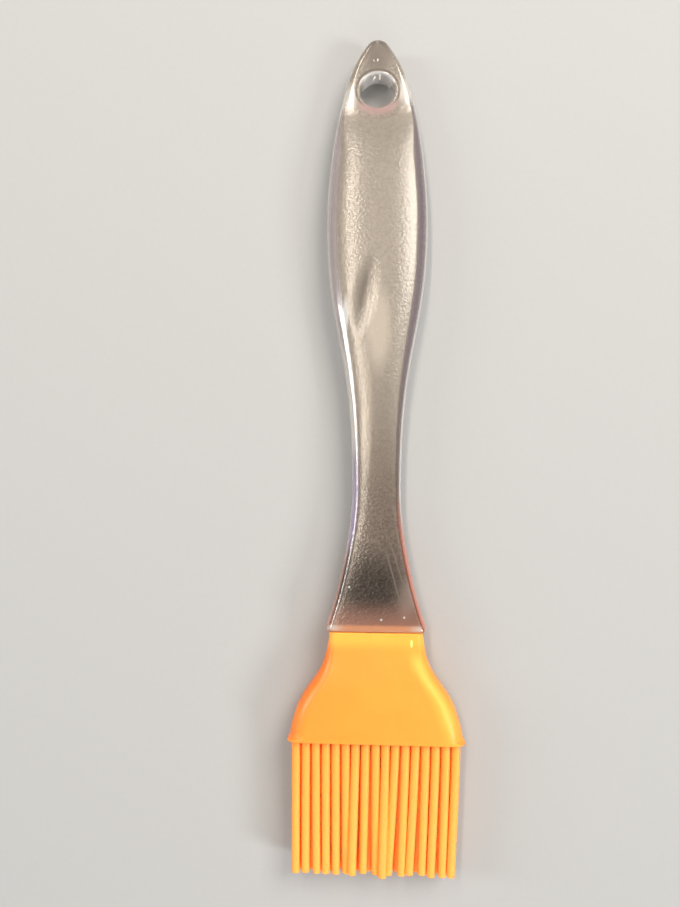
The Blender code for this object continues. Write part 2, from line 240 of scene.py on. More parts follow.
# Handle
handleShape = {
    "length": 128.0 * mm,
    "noseRadius": 2.9 * mm, "noseSlope": 0.66,
    "noseBlunt": 0.8 * mm, "noseBlend": (0.5 * mm, 8.5 * mm),   # how far the nose is drawn back, and where
    "padThick": 4.2 * mm, "padEdge": 1.5 * mm,
    "holeAt": 13.0 * mm, "holeWidth": 7.6 * mm, "holeRim": 0.7 * mm,
    "shoulderAt": 17.7 * mm,
    "gripAt": 41.5 * mm, "gripWidth": 21.4 * mm, "gripThick": 8.4 * mm,
    "neckAt": 100.0 * mm, "neckWidth": 9.8 * mm, "neckThick": 6.2 * mm,
    "flareWidth": 20.9 * mm, "flareSlope": 0.43, "flareThick": 8.0 * mm,
    # how long each stretch keeps the direction of its ends, as shares of its length
    "widthPulls": ((0.27, 0.17), (0.43, 0.53), (0.32, 0.20)),
    "thickPulls": ((0.10, 0.62), (0.43, 0.53), (0.32, 0.20)),
    # width and height of the rounded edge, and how far the face falls off to it
    "gripEdge": (3.6 * mm, 3.0 * mm), "neckEdge": (1.5 * mm, 1.8 * mm), "flareEdge": (1.5 * mm, 1.6 * mm),
    "crownStart": 6.0 * mm, "padCrown": 0.25 * mm, "gripCrown": 0.4 * mm, "neckCrown": 0.2 * mm,
    "flareCrown": 0.05 * mm,
    "endRound": 1.2 * mm, "endFaceRound": 0.45,   # the rounding of the faces as a share of the plan's
    "flash": 0.1 * mm,           # ridge left on the parting line
    "ringSpacing": 0.45 * mm,
}
tongueShape = {
    "length": 17.0 * mm, "width": 13.0 * mm, "thick": 3.0 * mm, "taper": 0.03,
    "corner": 3.0 * mm, "edge": 0.6 * mm, "root": 0.3 * mm,
    "ribAt": 3.0 * mm, "ribPitch": 4.2 * mm, "ribHeight": 0.4 * mm,
    "ribRamp": 1.6 * mm, "ribStep": 0.2 * mm,
}


def handleLines(shape):
    noseHalf = shape["noseRadius"] / math.sqrt(1 + shape["noseSlope"] ** 2)
    noseEnd = shape["noseRadius"] - shape["noseSlope"] * noseHalf
    nose = noseEnd * np.linspace(0, 1, 200, endpoint=False) ** 3
    noseWidths = np.sqrt(shape["noseRadius"] ** 2 - (shape["noseRadius"] - nose) ** 2)
    widths = smoothLine(
        [(noseEnd, noseHalf, shape["noseSlope"]), (shape["gripAt"], shape["gripWidth"] / 2, 0),
         (shape["neckAt"], shape["neckWidth"] / 2, 0),
         (shape["length"], shape["flareWidth"] / 2, shape["flareSlope"])],
        shape["widthPulls"])
    widths = np.vstack([np.column_stack([nose, noseWidths]), widths])
    endSlope = (shape["flareThick"] - shape["neckThick"]) / 2 / (shape["length"] - shape["neckAt"])
    thicknesses = smoothLine(
        [(shape["shoulderAt"], shape["padThick"] / 2, 0), (shape["gripAt"], shape["gripThick"] / 2, 0),
         (shape["neckAt"], shape["neckThick"] / 2, 0), (shape["length"], shape["flareThick"] / 2, endSlope)],
        shape["thickPulls"])
    return widths, thicknesses


def handleMarks(shape):
    # (distance, size) marks of the rounded edge's width and height and of the crown
    swellEnd = (shape["shoulderAt"] + shape["gripAt"]) / 2
    places = (shape["shoulderAt"], swellEnd, shape["gripAt"], shape["neckAt"], shape["length"])
    padEdge = (shape["padEdge"], shape["padEdge"])
    edges = (padEdge, shape["gripEdge"], shape["gripEdge"], shape["neckEdge"], shape["flareEdge"])
    edgeWidths = [(place, edge[0]) for place, edge in zip(places, edges)]
    edgeHeights = [(place, edge[1]) for place, edge in zip(places, edges)]
    crowns = [(shape["crownStart"], 0.0), (places[0], shape["padCrown"]), (places[2], shape["gripCrown"]),
              (places[3], shape["neckCrown"]), (places[4], shape["flareCrown"])]
    return edgeWidths, edgeHeights, crowns


def handleRings(shape):
    widths, thicknesses = handleLines(shape)
    edgeWidths, edgeHeights, crowns = handleMarks(shape)
    noseEdge = shape["padEdge"]

    def ring(distance, inset=0.0):
        noseLoss = noseEdge - math.sqrt(noseEdge ** 2 - max(0.0, noseEdge - distance) ** 2)
        drawnBack = shape["noseBlunt"] * (1 - softStep(distance, *shape["noseBlend"]))
        return ringAt(crossSection(
            readLine(widths, distance) - inset,
            readLine(thicknesses, distance) - noseLoss - inset * shape["endFaceRound"],
            max(0.2 * mm, eased(distance, edgeWidths) - inset),
            max(0.2 * mm, eased(distance, edgeHeights) - inset),
            eased(distance, crowns), shape["flash"]), distance + drawnBack)

    straightEnd = shape["length"] - shape["endRound"]
    stations = list(noseEdge * (np.arange(1, 16) / 16) ** 3)
    count = round((straightEnd - noseEdge) / shape["ringSpacing"])
    stations += list(np.linspace(noseEdge, straightEnd, count))
    rings = [ring(distance) for distance in stations]
    return rings + [ring(straightEnd + rise, inset) for rise, inset in quarterRound(shape["endRound"])]


def tongueRings(shape, start):
    def ring(distance, swell=0.0, inset=0.0):
        past = max(0.0, distance - (shape["length"] - shape["corner"]))
        half = shape["width"] / 2 - shape["taper"] * distance - shape["corner"]
        half += math.sqrt(max(0.0, shape["corner"] ** 2 - past ** 2))
        outline = crossSection(half - inset, shape["thick"] / 2 + swell - inset, shape["edge"], shape["edge"])
        return ringAt(outline, start + distance)

    rings = [ring(shape["root"] - rise, inset=-inset)
             for rise, inset in reversed(quarterRound(shape["root"], 4))]
    cornerStart = shape["length"] - shape["corner"]
    ribStart = shape["ribAt"]
    while ribStart + shape["ribRamp"] < cornerStart:
        rings += [ring(ribStart), ring(ribStart + shape["ribStep"], shape["ribHeight"]),
                  ring(ribStart + shape["ribRamp"])]
        ribStart += shape["ribPitch"]
    rings += [ring(cornerStart + rise) for rise, _ in quarterRound(shape["corner"] - shape["edge"])]
    rings += [ring(shape["length"] - shape["edge"] + rise, inset=inset)
              for rise, inset in quarterRound(shape["edge"], 4)]
    return rings


def holeCutter(shape):
    # a spool: the bore, its rounded rims, and wide ends clear of the pad
    bore = shape["holeWidth"] / 2
    rim = shape["holeRim"]
    bend = shape["padThick"] / 2 - rim
    lastTurn = 84      # degrees; a whole quarter would only graze the face
    upper = [(bore + rim * (1 - math.cos(angle)), bend + rim * math.sin(angle))
             for angle in np.radians(np.linspace(0, lastTurn, 10))]
    upper.append((upper[-1][0] + rim, upper[-1][1] + rim * math.cos(math.radians(lastTurn))))
    profile = [(radius, -height) for radius, height in reversed(upper)] + upper
    turns = np.linspace(0, 2 * math.pi, 96, endpoint=False)
    rings = [[(radius * math.cos(turn), tipY - shape["holeAt"] + radius * math.sin(turn), middleZ + height)
              for turn in turns] for radius, height in profile]
    return loft("hole_cutter", rings)


def makeHandle(shape, tongue):
    handle = loft("handle_moulding", handleRings(shape) + tongueRings(tongue, shape["length"]))
    cutter = holeCutter(shape)
    bore = handle.modifiers.new("hanging hole", "BOOLEAN")
    bore.operation = "DIFFERENCE"
    bore.solver = "EXACT"
    bore.object = cutter
    settle(handle)
    bpy.data.objects.remove(cutter, do_unlink=True)
    return handle


handleLook = {
    # places along the handle are from its tip, ranges run from none to full
    "polishedEdge": 0.57, "polishBlend": (-0.2 * mm, 0.3 * mm),   # share of the edge round that stays glassy
    "satinPad": (14.5 * mm, 17.0 * mm),
    "satinHole": (5.4 * mm, 7.4 * mm),         # this one from the middle of the hole
    "outline": (0.15 * mm, 0.4 * mm),          # painted highlight: the palest line, from the side inwards
    "paintedShade": (62.0 * mm, 112.0 * mm),          # painted shade: the clear plastic drawn darker towards the flare
    "endGlow": (120.5 * mm, 127.5 * mm),       # orange of the rubber shining in at the end
    "wallGlow": (98.0 * mm, 114.0 * mm), "wallGlowIn": (0.8 * mm, 1.0 * mm),   # and along the right wall
    "redShadeLine": 0.25 * mm,                      # painted shade: half width of the dark red line beside that
    "leftGlow": (108.0 * mm, 117.0 * mm), "leftGlowIn": (0.25 * mm, 0.5 * mm),
    # painted light on the upper left edge, lavender and a pale gleam, from none to full and back to none
    "lavender": (88.0 * mm, 97.0 * mm, 108.0 * mm, 114.0 * mm),
    "gleam": (66.0 * mm, 76.0 * mm, 90.0 * mm, 97.0 * mm),
    "upperEdge": (0.2 * mm, 1.4 * mm), "leftEdgeIn": (0.5 * mm, 1.6 * mm),
    "rimGlow": (126.3 * mm, 127.0 * mm),       # brightest in the rounded rim
    "rimCorner": (6.0 * mm, 9.0 * mm),         # and palest in its corners, from the middle
    "seatGlow": (127.5 * mm, 127.75 * mm),     # deep orange right at the rubber
    "seatHole": (8.0 * mm, 2.5 * mm),          # half width and height left clear round the tongue
}
sinkMark = {
    "top": (-0.5 * mm, 49.5 * mm), "bottom": (-4.2 * mm, 68.5 * mm),   # (across, from the tip)
    "width": 6.8 * mm, "depth": 0.21 * mm, "shadeBlend": 0.8 * mm,
}


def pressSinkMark(handle, mark):
    # a leaf shaped hollow where the thick plastic shrank as it cooled
    points = pointArray(handle.data)
    start = np.array([mark["top"][0], tipY - mark["top"][1]])
    end = np.array([mark["bottom"][0], tipY - mark["bottom"][1]])
    run = end - start
    length = np.hypot(*run)
    away = points[:, :2] - start
    along = away @ run / length ** 2
    across = (away[:, 0] * run[1] - away[:, 1] * run[0]) / length
    leaf = np.sqrt(np.sin(np.pi * np.clip(along, 0, 1))) * mark["width"] / 2 + 0.01 * mm
    hollow = np.cos(np.pi / 2 * np.clip(np.abs(across) / leaf, 0, 1)) ** 2
    hollow *= np.sin(np.pi * np.clip(along, 0, 1)) * (points[:, 2] > middleZ)
    points[:, 2] -= mark["depth"] * hollow
    # painted shade over one half of the hollow
    storeValues(handle.data, "sinkShade", hollow * softStep(across, -mark["shadeBlend"], mark["shadeBlend"]))
    handle.data.vertices.foreach_set("co", points.ravel())
    handle.data.update()


def markLook(handle, shape, look):
    # satin: 1 where the mould was spark eroded, 0 where it was polished, as
    # on the pad, the side walls and the tongue, which has to slide
    points = pointArray(handle.data)
    across = np.abs(points[:, 0])
    height = points[:, 2] - middleZ
    distance = tipY - points[:, 1]
    widths, _ = handleLines(shape)
    edgeWidths, _, _ = handleMarks(shape)
    inward = np.interp(distance, widths[:, 0], widths[:, 1]) - across
    edge = np.array([eased(place, edgeWidths) for place in distance])
    fromHole = np.hypot(points[:, 0], distance - shape["holeAt"])
    onHandle = distance < shape["length"]
    onLeft = points[:, 0] < 0

    def there(place):
        return softStep(distance, *place) * onHandle

    def between(rise, full, fall, end):
        return softStep(distance, rise, full) * (1 - softStep(distance, fall, end))

    face = softStep(inward - look["polishedEdge"] * edge, *look["polishBlend"])
    satinLength = there(look["satinPad"]) * softStep(fromHole, *look["satinHole"])
    rightWall = there(look["wallGlow"]) * (points[:, 0] > 0)
    leftRim = there(look["leftGlow"]) * onLeft * (1 - softStep(inward, *look["leftGlowIn"]))
    fromShadeLine = np.abs(inward - look["wallGlowIn"][0])
    upperLeft = onLeft * softStep(height, *look["upperEdge"]) * (1 - softStep(inward, *look["leftEdgeIn"]))
    aroundTongue = (across > look["seatHole"][0]) | (np.abs(height) > look["seatHole"][1])
    # besides satin and wall these are painted light and shade: a highlight along the edge, shade down the
    # flare, the rubber's orange light at the end, walls and rim, a dark red line, lavender and a gleam on the
    # upper left edge
    marks = {
        "satin": face * satinLength,
        "wall": (1 - face) * satinLength,
        "outline": 1 - softStep(inward, *look["outline"]),
        "paintedShade": there(look["paintedShade"]),
        "glow": there(look["endGlow"]),
        "wallGlow": rightWall * (1 - softStep(inward, *look["wallGlowIn"])) + leftRim,
        "redShadeLine": rightWall * np.clip(1 - fromShadeLine / look["redShadeLine"], 0, 1),
        "lavender": between(*look["lavender"]) * upperLeft,
        "gleam": between(*look["gleam"]) * upperLeft,
        "rim": softStep(distance, *look["rimGlow"]) * (distance < shape["length"] + 0.1 * mm),
        "corner": softStep(across, *look["rimCorner"]),
        "seat": softStep(distance, *look["seatGlow"]) * aroundTongue,
    }
    for name, values in marks.items():
        storeValues(handle.data, name, values)


handle = makeHandle(handleShape, tongueShape)
pressSinkMark(handle, sinkMark)
markLook(handle, handleShape, handleLook)
print("handle moulded,", len(handle.data.polygons), "faces")

# Rubber head
headShape = {
    "length": 21.0 * mm,
    "seatWidth": 18.9 * mm, "seatThick": 7.2 * mm, "seatSlope": 0.085, "seatEdge": 1.4 * mm,
    "baseWidth": 34.8 * mm, "baseThick": 8.4 * mm, "baseSlope": 0.145, "baseLength": 8.5 * mm,
    "baseEdge": 3.4 * mm,
    "widthPulls": ((0.55, 0.62),), "thickPulls": ((0.45, 0.45),),
    "endRound": 0.2 * mm, "seatReach": 0.26 * mm,   # rubber squeezed up against the handle
    "lipWidth": 0.25 * mm, "lipLength": 1.1 * mm, "lipUnder": 0.3 * mm, "lipEdge": 1.2 * mm,
    "pocketWidth": 13.6 * mm, "pocketThick": 4.4 * mm, "pocketDepth": 17.7 * mm,
    "pocketEdge": 0.9 * mm, "mouthRound": 0.6 * mm,
    "ringSpacing": 0.4 * mm,
}


def sleeveWidths(shape):
    return smoothLine([(0, shape["seatWidth"] / 2, shape["seatSlope"]),
                       (shape["length"], shape["baseWidth"] / 2, shape["baseSlope"])], shape["widthPulls"])


def sleeveRings(shape):
    start = tipY - seatY
    flatStart = shape["length"] - shape["baseLength"]
    widths = sleeveWidths(shape)
    thicknesses = smoothLine([(0, shape["seatThick"] / 2, 0), (flatStart, shape["baseThick"] / 2, 0)],
                             shape["thickPulls"])
    edges = ((0, shape["seatEdge"]), (flatStart, shape["baseEdge"]))

    def ring(distance, inset=0.0, swell=0.0, square=0.0):
        edge = max(0.2 * mm, eased(distance, edges) - inset)
        edge += (shape["lipEdge"] - edge) * square
        outline = crossSection(readLine(widths, distance) - inset + swell,
                               readLine(thicknesses, distance) - inset, edge, edge)
        return ringAt(outline, start + distance)

    rings = [ring(shape["endRound"] - rise - shape["seatReach"], inset)
             for rise, inset in reversed(quarterRound(shape["endRound"]))]
    lipStart = shape["length"] - shape["lipLength"]
    steps = round((lipStart - shape["endRound"]) / shape["ringSpacing"])
    rings += [ring(distance) for distance in np.linspace(shape["endRound"], lipStart, steps)]
    lipEdge = shape["length"] - shape["lipUnder"]
    for share in (0.3, 0.55, 0.75, 0.9, 1.0):
        rings.append(ring(lipStart + (lipEdge - lipStart) * share, swell=shape["lipWidth"] * share ** 2,
                          square=share ** 2))
    rings.append(ring(shape["length"], swell=shape["lipWidth"] - 2 * shape["lipUnder"], square=1.0))
    return rings


def pocketRings(shape):
    start = tipY - seatY
    edge = shape["pocketEdge"]
    mouth = shape["mouthRound"]

    def ring(distance, swell):
        return ringAt(crossSection(shape["pocketWidth"] / 2 + swell, shape["pocketThick"] / 2 + swell,
                                   edge, edge), start + distance)

    bottom = shape["pocketDepth"]
    rings = [ring(bottom - edge + rise, -inset) for rise, inset in reversed(quarterRound(edge, 5))]
    rings += [ring(distance, 0.0) for distance in np.linspace(bottom - edge, mouth, 6)]
    rings += [ring(mouth - rise - shape["seatReach"] * step / 5, inset)
              for step, (rise, inset) in enumerate(quarterRound(mouth, 5), 1)]
    return rings


headLook = {
    # places are from the top edge of the head, ranges run from none to full
    "seatLight": (0.8 * mm, 3.6 * mm),         # painted highlight at the top, down to here
    "paleAt": 2.3 * mm, "paleHalf": 1.7 * mm,  # painted highlight: a paler line in from the right side, and half its width
    "paleRise": (2.0 * mm, 6.0 * mm), "paleFall": (16.0 * mm, 20.0 * mm),
    "redWidth": 2.4 * mm,                      # painted shade: a redder left side
    "redRise": (1.0 * mm, 5.0 * mm), "redFall": (12.0 * mm, 17.0 * mm),
    "lost": 0.6,                               # share of both that the fall takes
}


def makeHead(shape, look):
    head = settle(loft("head_moulding", pocketRings(shape) + sleeveRings(shape)))
    across = pointArray(head.data)[:, 0]
    distance = seatY - pointArray(head.data)[:, 1]
    widths = sleeveWidths(shape)
    inward = np.interp(distance, widths[:, 0], widths[:, 1]) - np.abs(across)

    def between(rise, fall):
        return softStep(distance, *rise) * (1 - look["lost"] * softStep(distance, *fall))

    # painted highlight along the right shoulder, painted shade along the left side
    paler = np.clip(1 - np.abs(inward - look["paleAt"]) / look["paleHalf"], 0, 1) * (across > 0)
    redder = (1 - softStep(inward, 0, look["redWidth"])) * (across < 0)
    storeValues(head.data, "seatLight", 1 - softStep(distance, *look["seatLight"]))
    storeValues(head.data, "shoulderHighlight", paler * between(look["paleRise"], look["paleFall"]))
    storeValues(head.data, "shoulderShade", redder * between(look["redRise"], look["redFall"]))
    return head


head = makeHead(headShape, headLook)
print("head moulded,", len(head.data.polygons), "faces")

# Bristles
bristleShape = {
    "across": 17, "rows": 4,
    "pitch": 1.97 * mm, "rowPitch": 1.4945 * mm,
    "length": 25.0 * mm, "diameter": 1.76 * mm, "tipDiameter": 1.6 * mm, "tipRound": 0.2 * mm,
    "rootDepth": 1.1 * mm,       # sunk into the rubber of the head
    "leanReach": 2.0 * mm,       # the most that the leans and lifts below can be
    "leanLeft": 0.3 * mm, "leanRight": -1.2 * mm,   # the rows behind lean evenly between these
    "clump": 0.3 * mm,           # neighbours behind the front row that lean together
    "stray": 0.36 * mm,          # each on its own
    "sag": 0.25 * mm,
    "lengthSpread": 0.5 * mm,
    "bend": 1.25,                # 1 leans them straight from the root, more bends them towards the tip
    "upShare": 0.3,              # up and down they stray this much as far as sideways
    "clumpScale": 130.0,         # noise cells in a metre, about four bristles each
    "points": 16, "crowding": 2.2,   # along each bristle, crowding to the tip for its round
    "sides": 12,
    "seed": 7,
}
# front row, column by column from the left: how far each tip lies to the right
# of its root, and above it where a bristle rides over its neighbours
tipLeans = [lean * mm for lean in (0.27, 0.2, 0.4, 0.25, 0.2, 0.25, -0.6, -0.5, 0.0, -0.7, -1.5, -1.0, -1.4,
                                   -0.95, -1.2, -1.0, -1.3)]
tipLifts = [lift * mm for lift in (0.1, 0.2, 0.1, 0.25, 0.1, 0.1, 1.2, 0.2, 0.1, 1.15, 0.1, 0.1, 0.3,
                                   0.1, 0.3, 0.1, 0.2)]


def shapeCurve(node, sizes, reach):
    # sizes at even steps along the curve, which runs from -reach to reach
    points = node.mapping.curves[0].points
    for place, size in enumerate(sizes):
        share = place / (len(sizes) - 1)
        height = 0.5 + size / reach / 2
        if place in (0, len(sizes) - 1):
            points[-1 if place else 0].location = (share, height)
        else:
            points.new(share, height)
    node.mapping.update()


def bristleTree(sizes, leans, lifts):
    tree = bpy.data.node_groups.new("bristle rows", "GeometryNodeTree")
    tree.is_modifier = True
    for name, size in sizes.items():
        kind = "NodeSocketInt" if isinstance(size, int) else "NodeSocketFloat"
        tree.interface.new_socket(name, in_out="INPUT", socket_type=kind)
    tree.interface.new_socket("root", in_out="INPUT", socket_type="NodeSocketVector")
    tree.interface.new_socket("rubber", in_out="INPUT", socket_type="NodeSocketMaterial")
    tree.interface.new_socket("Geometry", in_out="OUTPUT", socket_type="NodeSocketGeometry")
    given = addNode(tree, "NodeGroupInput").outputs

    # row and column of each root from its number; odd rows are shifted by half a pitch
    index = addNode(tree, "GeometryNodeInputIndex")
    count = maths(tree, "MULTIPLY", given["across"], given["rows"])
    rowShare = maths(tree, "DIVIDE", index, given["across"])
    row = maths(tree, "FLOOR", rowShare)
    column = maths(tree, "MODULO", index, given["across"])
    odd = maths(tree, "MODULO", row, 2.0)
    lastColumn = maths(tree, "SUBTRACT", given["across"], 1.0)
    lastRow = maths(tree, "SUBTRACT", given["rows"], 1.0)
    shifted = maths(tree, "MULTIPLY_ADD", odd, 0.5, column)
    fromMiddle = maths(tree, "MULTIPLY_ADD", lastColumn, -0.5, shifted)
    rootX = maths(tree, "MULTIPLY", fromMiddle, given["pitch"])
    rowDown = maths(tree, "MULTIPLY", lastRow, 0.5)
    rowUp = maths(tree, "SUBTRACT", rowDown, row)
    rootZ = maths(tree, "MULTIPLY", rowUp, given["rowPitch"])
    rootPlace = addNode(tree, "ShaderNodeCombineXYZ", {"X": rootX, "Z": rootZ})
    roots = addNode(tree, "GeometryNodePoints", {"Count": count, "Position": rootPlace})
    shiftedPlace = maths(tree, "ADD", column, odd)
    spare = addNode(tree, "FunctionNodeCompare", {0: shiftedPlace, 1: lastColumn}, data_type="FLOAT",
                    operation="GREATER_THAN")
    kept = addNode(tree, "GeometryNodeDeleteGeometry",
                   {"Geometry": roots, "Selection": spare}, domain="POINT")

    # a straight bristle of length one on each root
    straight = addNode(tree, "GeometryNodeCurvePrimitiveLine", {"End": (0, -1, 0)})
    cut = addNode(tree, "GeometryNodeResampleCurve", {"Curve": straight, "Count": given["points"]})
    planted = addNode(tree, "GeometryNodeInstanceOnPoints", {"Points": kept, "Instance": cut})
    loose = addNode(tree, "GeometryNodeRealizeInstances", {"Geometry": planted})

    # where each point is along its bristle; the points crowd towards the tip
    position = addNode(tree, "GeometryNodeInputPosition")
    parts = addNode(tree, "ShaderNodeSeparateXYZ", {0: position}).outputs
    left = maths(tree, "ADD", parts["Y"], 1.0)
    crowded = maths(tree, "POWER", left, given["crowding"])
    along = maths(tree, "SUBTRACT", 1.0, crowded)
    bend = maths(tree, "POWER", along, given["bend"])
    rootOnly = addNode(tree, "ShaderNodeCombineXYZ", {"X": parts["X"], "Z": parts["Z"]})

    # move of each tip: as the curves have it in the front row, even behind it, but in clumps and astray
    spread = maths(tree, "MULTIPLY", lastColumn, given["pitch"])
    fromLeft = maths(tree, "DIVIDE", parts["X"], spread)
    rootShare = maths(tree, "ADD", fromLeft, 0.5)
    reach = maths(tree, "MULTIPLY", given["leanReach"], 2.0)

    def byColumn(moves):
        curve = addNode(tree, "ShaderNodeFloatCurve", {"Value": rootShare})
        shapeCurve(curve, moves, sizes["leanReach"])
        centred = maths(tree, "SUBTRACT", curve, 0.5)
        return maths(tree, "MULTIPLY", centred, reach)

    frontZ = maths(tree, "MULTIPLY", rowDown, given["rowPitch"])
    behind = maths(tree, "SUBTRACT", frontZ, parts["Z"])
    behindShare = addNode(tree, "ShaderNodeMapRange", {0: behind, 2: given["rowPitch"]})
    evenLean = addNode(tree, "ShaderNodeMapRange",
                       {0: rootShare, 3: given["leanLeft"], 4: given["leanRight"]})
    rowLean = addNode(tree, "ShaderNodeMix", {0: behindShare, 2: byColumn(leans), 3: evenLean})
    rowLift = addNode(tree, "ShaderNodeMix", {0: behindShare, 2: byColumn(lifts), 3: 0.0})
    drift = addNode(tree, "ShaderNodeTexNoise", {"Vector": rootOnly, "W": given["seed"], "Detail": 0.0,
                                                 "Scale": given["clumpScale"]}, noise_dimensions="4D")
    own = addNode(tree, "ShaderNodeTexWhiteNoise", {"Vector": rootOnly, "W": given["seed"]},
                  noise_dimensions="4D")
    driftCentred = vectorMaths(tree, "SUBTRACT", drift.outputs["Color"], (0.5, 0.5, 0.5))
    ownCentred = vectorMaths(tree, "SUBTRACT", own.outputs["Color"], (0.5, 0.5, 0.5))
    clumped = addNode(tree, "ShaderNodeVectorMath",
                      {0: driftCentred, "Scale": given["clump"]}, operation="SCALE")
    strayed = addNode(tree, "ShaderNodeVectorMath",
                      {0: ownCentred, "Scale": given["stray"]}, operation="SCALE")
    astray = vectorMaths(tree, "ADD", clumped, strayed)
    astrayHeld = addNode(tree, "ShaderNodeVectorMath", {0: astray, "Scale": behindShare}, operation="SCALE")
    astrayParts = addNode(tree, "ShaderNodeSeparateXYZ", {0: astrayHeld}).outputs
    leanX = maths(tree, "ADD", rowLean, astrayParts["X"])
    leanZ = maths(tree, "MULTIPLY_ADD", astrayParts["Z"], given["upShare"], rowLift)
    dropped = maths(tree, "SUBTRACT", leanZ, given["sag"])
    moveX = maths(tree, "MULTIPLY_ADD", leanX, bend, parts["X"])
    moveZ = maths(tree, "MULTIPLY_ADD", dropped, bend, parts["Z"])

    # true length, less a little for some, from the sunk root
    ownParts = addNode(tree, "ShaderNodeSeparateXYZ", {0: own.outputs["Color"]}).outputs
    shorter = maths(tree, "MULTIPLY", ownParts["Y"], given["lengthSpread"])
    trueLength = maths(tree, "SUBTRACT", given["length"], shorter)
    whole = maths(tree, "ADD", trueLength, given["rootDepth"])
    run = maths(tree, "MULTIPLY", along, whole)
    moveY = maths(tree, "SUBTRACT", given["rootDepth"], run)
    local = addNode(tree, "ShaderNodeCombineXYZ", {"X": moveX, "Y": moveY, "Z": moveZ})
    world = vectorMaths(tree, "ADD", local, given["root"])

    # taper, and the rounded rim of the tip
    taper = addNode(tree, "ShaderNodeMapRange", {0: along, 3: given["diameter"], 4: given["tipDiameter"]})
    fromTip = maths(tree, "SUBTRACT", whole, run)
    intoRound = maths(tree, "SUBTRACT", given["tipRound"], fromTip, use_clamp=True)
    roundShare = maths(tree, "DIVIDE", intoRound, given["tipRound"])
    square = maths(tree, "POWER", roundShare, 2.0)
    chord = maths(tree, "SUBTRACT", 1.0, square)
    height = maths(tree, "SQRT", chord)
    rimLoss = maths(tree, "SUBTRACT", 1.0, height)
    halved = maths(tree, "MULTIPLY", taper, 0.5)
    lost = maths(tree, "MULTIPLY", rimLoss, given["tipRound"])
    radius = maths(tree, "SUBTRACT", halved, lost)

    named = addNode(tree, "GeometryNodeStoreNamedAttribute",
                    {"Geometry": loose, "Name": "alongBristle", "Value": along},
                    data_type="FLOAT", domain="POINT")
    sized = addNode(tree, "GeometryNodeSetCurveRadius", {"Curve": named, "Radius": radius})
    bent = addNode(tree, "GeometryNodeSetPosition", {"Geometry": sized, "Position": world})
    profile = addNode(tree, "GeometryNodeCurvePrimitiveCircle", {"Resolution": given["sides"], "Radius": 1.0})
    radiusRead = addNode(tree, "GeometryNodeInputRadius")
    skin = addNode(tree, "GeometryNodeCurveToMesh",
                   {"Curve": bent, "Profile Curve": profile, "Scale": radiusRead, "Fill Caps": True})
    real = addNode(tree, "GeometryNodeRealizeInstances", {"Geometry": skin})
    dressed = addNode(tree, "GeometryNodeSetMaterial", {"Geometry": real, "Material": given["rubber"]})
    addNode(tree, "NodeGroupOutput", {"Geometry": dressed})
    return tree


def plantBristles(sizes, leans, lifts, rubber):
    tree = bristleTree(sizes, leans, lifts)
    bristles = place("bristles", bpy.data.meshes.new("bristles"))
    grower = bristles.modifiers.new("bristle rows", "NODES")
    grower.node_group = tree
    root = Vector((0, seatY - headShape["length"], middleZ))
    for item in tree.interface.items_tree:
        if item.in_out == "INPUT":
            value = {"root": root, "rubber": rubber}.get(item.name, sizes.get(item.name))
            grower[item.identifier] = value
    settle(bristles)
    return bristles


# Materials
def newMaterial(name, settings):
    material = bpy.data.materials.new(name)
    material.use_nodes = True
    tree = material.node_tree
    shader = tree.nodes["Principled BSDF"]
    for key, value in settings.items():
        shader.inputs[key].default_value = value
    return material, tree, shader, addNode(tree, "ShaderNodeTexCoord").outputs["Object"]


def readMark(tree, name):
    return addNode(tree, "ShaderNodeAttribute", attribute_name=name).outputs["Fac"]


def blendColour(tree, share, first, second):
    # first and second are hex codes or other nodes' colour outputs
    colours = [linearColour(colour) if isinstance(colour, str) else colour for colour in (first, second)]
    return addNode(tree, "ShaderNodeMix", {0: share, 6: colours[0], 7: colours[1]},
                   data_type="RGBA").outputs["Result"]


def spotShare(tree, where, centre, radii, soft):
    # 1 in a spot on the upper face, falling to 0 at its rim; centre is
    # (across, from the tip)
    away = vectorMaths(tree, "SUBTRACT", where, (centre[0], tipY - centre[1], 0))
    scaled = vectorMaths(tree, "MULTIPLY", away, (1 / radii[0], 1 / radii[1], 0))
    length = vectorMaths(tree, "LENGTH", scaled).outputs["Value"]
    return addNode(tree, "ShaderNodeMapRange", {0: length, 1: 1.0, 2: 1 - soft},
                   interpolation_type="SMOOTHSTEP")


def lineShare(tree, where, start, end, halfWidth):
    # 1 along the middle of a straight line on the upper face, 0 beside it and
    # past its ends; the ends are (across, from the tip)
    begin = Vector((start[0], tipY - start[1], 0))
    run = Vector((end[0], tipY - end[1], 0)) - begin
    away = vectorMaths(tree, "SUBTRACT", where, begin)
    beside = vectorMaths(tree, "DOT_PRODUCT", away, Vector((run.y, -run.x, 0)).normalized()).outputs["Value"]
    off = maths(tree, "ABSOLUTE", beside)
    near = addNode(tree, "ShaderNodeMapRange", {0: off, 1: halfWidth, 2: 0.0})
    along = vectorMaths(tree, "DOT_PRODUCT", away, run / run.length_squared).outputs["Value"]
    fromMiddle = maths(tree, "SUBTRACT", along, 0.5)
    toEnd = maths(tree, "ABSOLUTE", fromMiddle)
    within = addNode(tree, "ShaderNodeMapRange", {0: toEnd, 1: 0.5, 2: 0.3})
    return maths(tree, "MULTIPLY", near, within)


